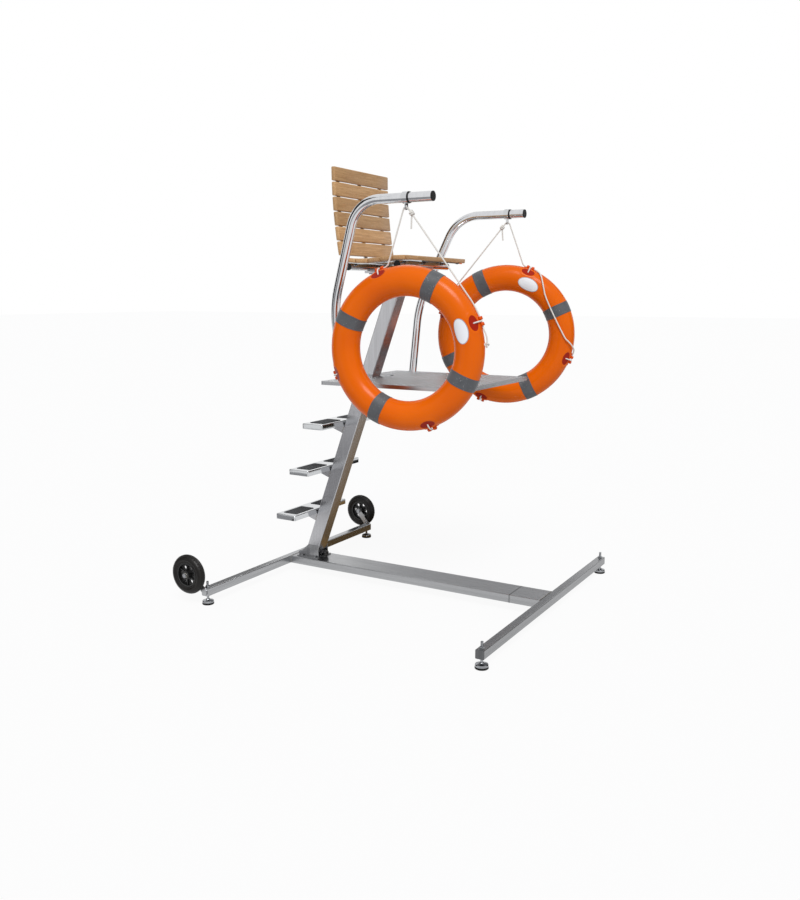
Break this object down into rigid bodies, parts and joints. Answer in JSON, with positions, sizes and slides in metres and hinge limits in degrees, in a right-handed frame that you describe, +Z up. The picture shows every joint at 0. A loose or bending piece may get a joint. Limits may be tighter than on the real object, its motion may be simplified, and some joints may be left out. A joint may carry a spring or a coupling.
{
  "type": "lifeguard chair",
  "caption": "Mobile lifeguard chair: steel base on screw feet with wheels behind, leaning fold-back mast with treads, platform, slatted seat, and life rings on bent arm tubes.",
  "frame": {"origin": "on the floor, at the middle of the chair's bounding box", "axes": "+X forward, the way the sitter looks; +Y to the sitter's left; +Z up"},
  "size_m": [1.699, 1.6164, 2.1065],
  "materials": {
    "base_steel": "satin",
    "frame_steel": "polished",
    "shoe_steel": "satin",
    "chrome": "polished",
    "foot_rubber": "matt",
    "grip_rubber": "matt",
    "plug_rubber": "matt",
    "tyre_rubber": "matt",
    "rim_plastic": "matt",
    "bearing_plastic": "matt",
    "knob_plastic": "matt",
    "varnished_wood": "satin varnish",
    "ring_plastic": "satin",
    "lug_plastic": "satin",
    "reflective_tape": "reflective",
    "rope_fibre": "braided"
  },
  "bodies": {
    "base": {"centre_beam": "base_steel", "front_stub": "base_steel", "front_cross_bar": "base_steel", "rear_cross_bar": "base_steel", "bar_end_caps": "base_steel", "foot_bushes": "chrome", "lock_nuts": "chrome", "wheel_arm_left": "base_steel", "wheel_arm_right": "base_steel", "wheel_axles": "chrome", "mast_shoe": "shoe_steel", "hinge_pin": "chrome", "shoe_bolts": "chrome"},
    "foot_front_left": {"foot_spindle_front_left": "chrome", "foot_sole_front_left": "foot_rubber"},
    "foot_front_right": {"foot_spindle_front_right": "chrome", "foot_sole_front_right": "foot_rubber"},
    "foot_rear_left": {"foot_spindle_rear_left": "chrome", "foot_sole_rear_left": "foot_rubber"},
    "foot_rear_right": {"foot_spindle_rear_right": "chrome", "foot_sole_rear_right": "foot_rubber"},
    "wheel_left": {"tyre_left": "tyre_rubber", "rim_left": "rim_plastic", "bearing_left": "bearing_plastic"},
    "wheel_right": {"tyre_right": "tyre_rubber", "rim_right": "rim_plastic", "bearing_right": "bearing_plastic"},
    "mast": {"mast_tube": "frame_steel", "mast_foot": "shoe_steel", "mast_head": "frame_steel", "tread_1": "frame_steel", "tread_2": "frame_steel", "tread_3": "frame_steel", "tread_brackets": "frame_steel", "grip_pads": "grip_rubber", "platform": "frame_steel", "platform_bearers": "frame_steel", "frame_bolts": "chrome", "arm_tube_left": "frame_steel", "arm_tube_right": "frame_steel", "arm_end_plugs": "plug_rubber", "collar_stops": "plug_rubber", "rope_collar_left": "frame_steel", "rope_collar_right": "frame_steel", "seat_frame": "frame_steel", "seat_tube_caps": "plug_rubber", "seat_slats": "varnished_wood", "back_slats": "varnished_wood", "slat_screws": "chrome"},
    "latch_knob": {"knob_grip": "knob_plastic", "knob_screw": "chrome"},
    "ring_left": {"life_ring_left": "ring_plastic", "ring_bands_left": "reflective_tape", "ring_lugs_left": "lug_plastic", "ring_rope_left": "rope_fibre"},
    "ring_right": {"life_ring_right": "ring_plastic", "ring_bands_right": "reflective_tape", "ring_lugs_right": "lug_plastic", "ring_rope_right": "rope_fibre"}
  },
  "joints": [
    {"name": "foot_front_left_screw", "type": "slide", "parent": "base", "child": "foot_front_left", "axis": [0, 0, 1], "range_m": [-0.02, 0.015]},
    {"name": "foot_front_right_screw", "type": "slide", "parent": "base", "child": "foot_front_right", "axis": [0, 0, 1], "range_m": [-0.02, 0.015]},
    {"name": "foot_rear_left_screw", "type": "slide", "parent": "base", "child": "foot_rear_left", "axis": [0, 0, 1], "range_m": [-0.02, 0.015]},
    {"name": "foot_rear_right_screw", "type": "slide", "parent": "base", "child": "foot_rear_right", "axis": [0, 0, 1], "range_m": [-0.02, 0.015]},
    {"name": "wheel_left_spin", "type": "hinge", "parent": "base", "child": "wheel_left", "pos_m": [-0.7515, 0.7755, 0.154], "axis": [0, 1, 0], "continuous": true},
    {"name": "wheel_right_spin", "type": "hinge", "parent": "base", "child": "wheel_right", "pos_m": [-0.7515, -0.7755, 0.154], "axis": [0, 1, 0], "continuous": true},
    {"name": "mast_fold", "type": "hinge", "parent": "base", "child": "mast", "pos_m": [-0.6175, 0, 0.1025], "axis": [0, 1, 0], "range_deg": [-100, 0]},
    {"name": "latch_knob_turn", "type": "hinge", "parent": "mast", "child": "latch_knob", "pos_m": [-0.49013, 0, 0.1055], "axis": [1, 0, 0], "continuous": true},
    {"name": "ring_left_swing", "type": "hinge", "parent": "mast", "child": "ring_left", "pos_m": [0.34602, 0.48942, 1.86797], "axis": [1, 0, 0], "range_deg": [-0.3, 60]},
    {"name": "ring_right_swing", "type": "hinge", "parent": "mast", "child": "ring_right", "pos_m": [0.31102, -0.48942, 1.86797], "axis": [-1, 0, 0], "range_deg": [-2.5, 60]}
  ]
}
